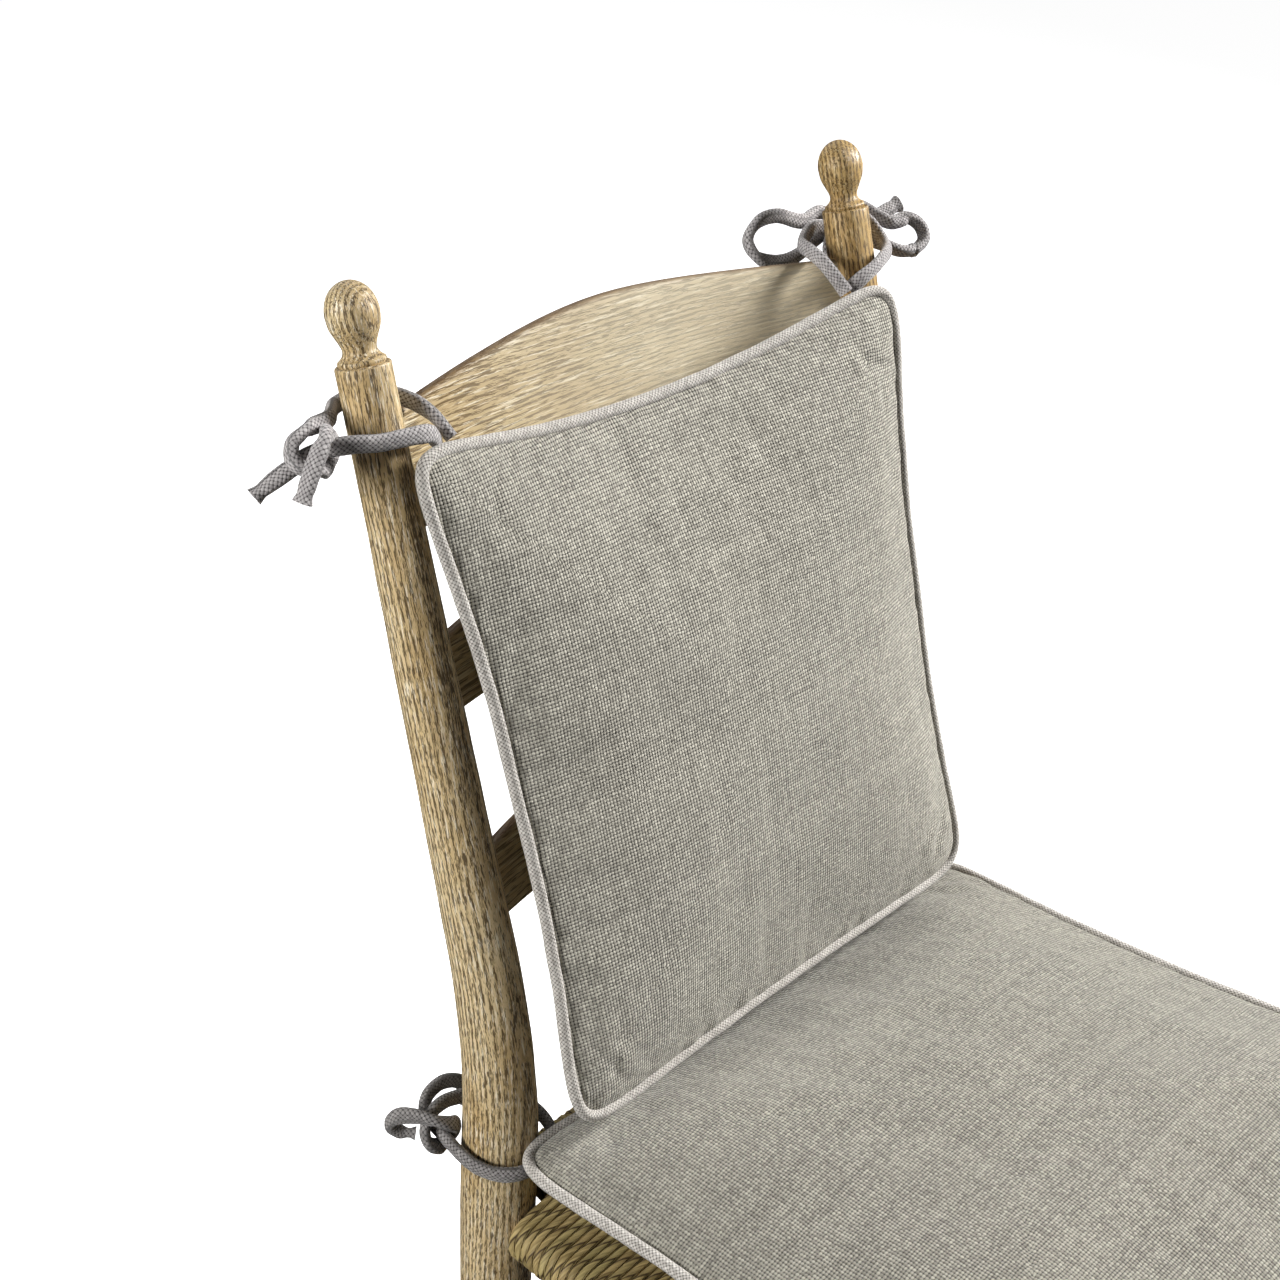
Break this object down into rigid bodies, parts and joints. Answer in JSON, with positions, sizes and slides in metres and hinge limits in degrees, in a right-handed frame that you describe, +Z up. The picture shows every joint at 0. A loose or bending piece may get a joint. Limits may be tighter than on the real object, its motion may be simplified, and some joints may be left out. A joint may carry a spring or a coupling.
{
  "type": "ladder-back chair",
  "caption": "Armless ladder-back side chair with bent turned posts, bowed slats, a woven rush seat, and piped linen seat and back cushions held by cotton ties.",
  "frame": {"origin": "on the floor, under the middle of the chair's box", "axes": "+Z up, -Y the way the sitter faces, +X to the right of someone who looks at the chair's front"},
  "size_m": [0.5839, 0.5636, 1.0177],
  "materials": {
    "oak_turned": "limed and waxed, satin",
    "oak_rail": "plain, mostly under the rush",
    "oak_slat": "limed and waxed, satin",
    "rush": "twisted rush, dull",
    "back_cushion_linen": "coarse plain weave, matt",
    "seat_cushion_linen": "coarse plain weave, matt",
    "piping_linen": "fine twill over cord, matt",
    "tie_cotton": "tubular braid, matt",
    "filling": "white wadding",
    "zip_tape": "closed coil zip",
    "glide_nylon": "moulded"
  },
  "bodies": {
    "root": {"rear_post_left": "oak_turned", "front_leg_left": "oak_turned", "rear_glide_left": "glide_nylon", "front_glide_left": "glide_nylon", "rear_post_right": "oak_turned", "front_leg_right": "oak_turned", "rear_glide_right": "glide_nylon", "front_glide_right": "glide_nylon", "crest_slat": "oak_slat", "middle_slat": "oak_slat", "lower_slat": "oak_slat", "front_rail": "oak_rail", "rear_rail": "oak_rail", "front_stretcher_upper": "oak_turned", "front_stretcher_lower": "oak_turned", "rear_stretcher": "oak_turned", "left_rail": "oak_rail", "left_stretcher_upper": "oak_turned", "left_stretcher_lower": "oak_turned", "right_rail": "oak_rail", "right_stretcher_upper": "oak_turned", "right_stretcher_lower": "oak_turned", "rush_seat": "rush", "back_cushion_cover": "back_cushion_linen", "back_cushion_insert": "filling", "back_cushion_piping": "piping_linen", "back_cushion_zip": "zip_tape", "seat_cushion_cover": "seat_cushion_linen", "seat_cushion_foam": "filling", "seat_cushion_piping": "piping_linen", "seat_cushion_zip": "zip_tape", "back_tie_upper_left_front": "tie_cotton", "back_tie_upper_left_rear": "tie_cotton", "back_tie_upper_right_outer": "tie_cotton", "back_tie_upper_right_inner": "tie_cotton", "seat_tie_left_outer": "tie_cotton", "seat_tie_left_inner": "tie_cotton", "seat_tie_right_outer": "tie_cotton", "seat_tie_right_inner": "tie_cotton"}
  },
  "joints": []
}
